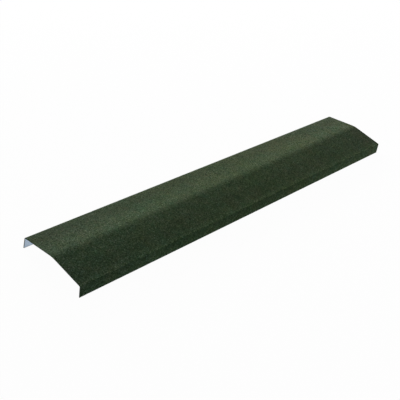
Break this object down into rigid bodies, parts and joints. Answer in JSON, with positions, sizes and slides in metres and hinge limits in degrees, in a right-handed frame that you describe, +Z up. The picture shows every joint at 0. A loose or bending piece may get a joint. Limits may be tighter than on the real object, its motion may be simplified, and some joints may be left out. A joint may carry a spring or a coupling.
{
  "type": "roof ridge cap",
  "caption": "Folded sheet-metal cap that covers a roof ridge, with shallow sloping wings, a softly rounded crown, down-turned lips along the long edges and a stone-granule coat.",
  "frame": {"origin": "middle of the length and width, on the level surface that the two lips stand on", "axes": "+X along the ridge, +Y across it, +Z up through the crown"},
  "size_m": [1.25, 0.2102, 0.0448],
  "materials": {
    "coated_steel": "matte"
  },
  "bodies": {
    "root": {"ridge_cap": "coated_steel"}
  },
  "joints": []
}
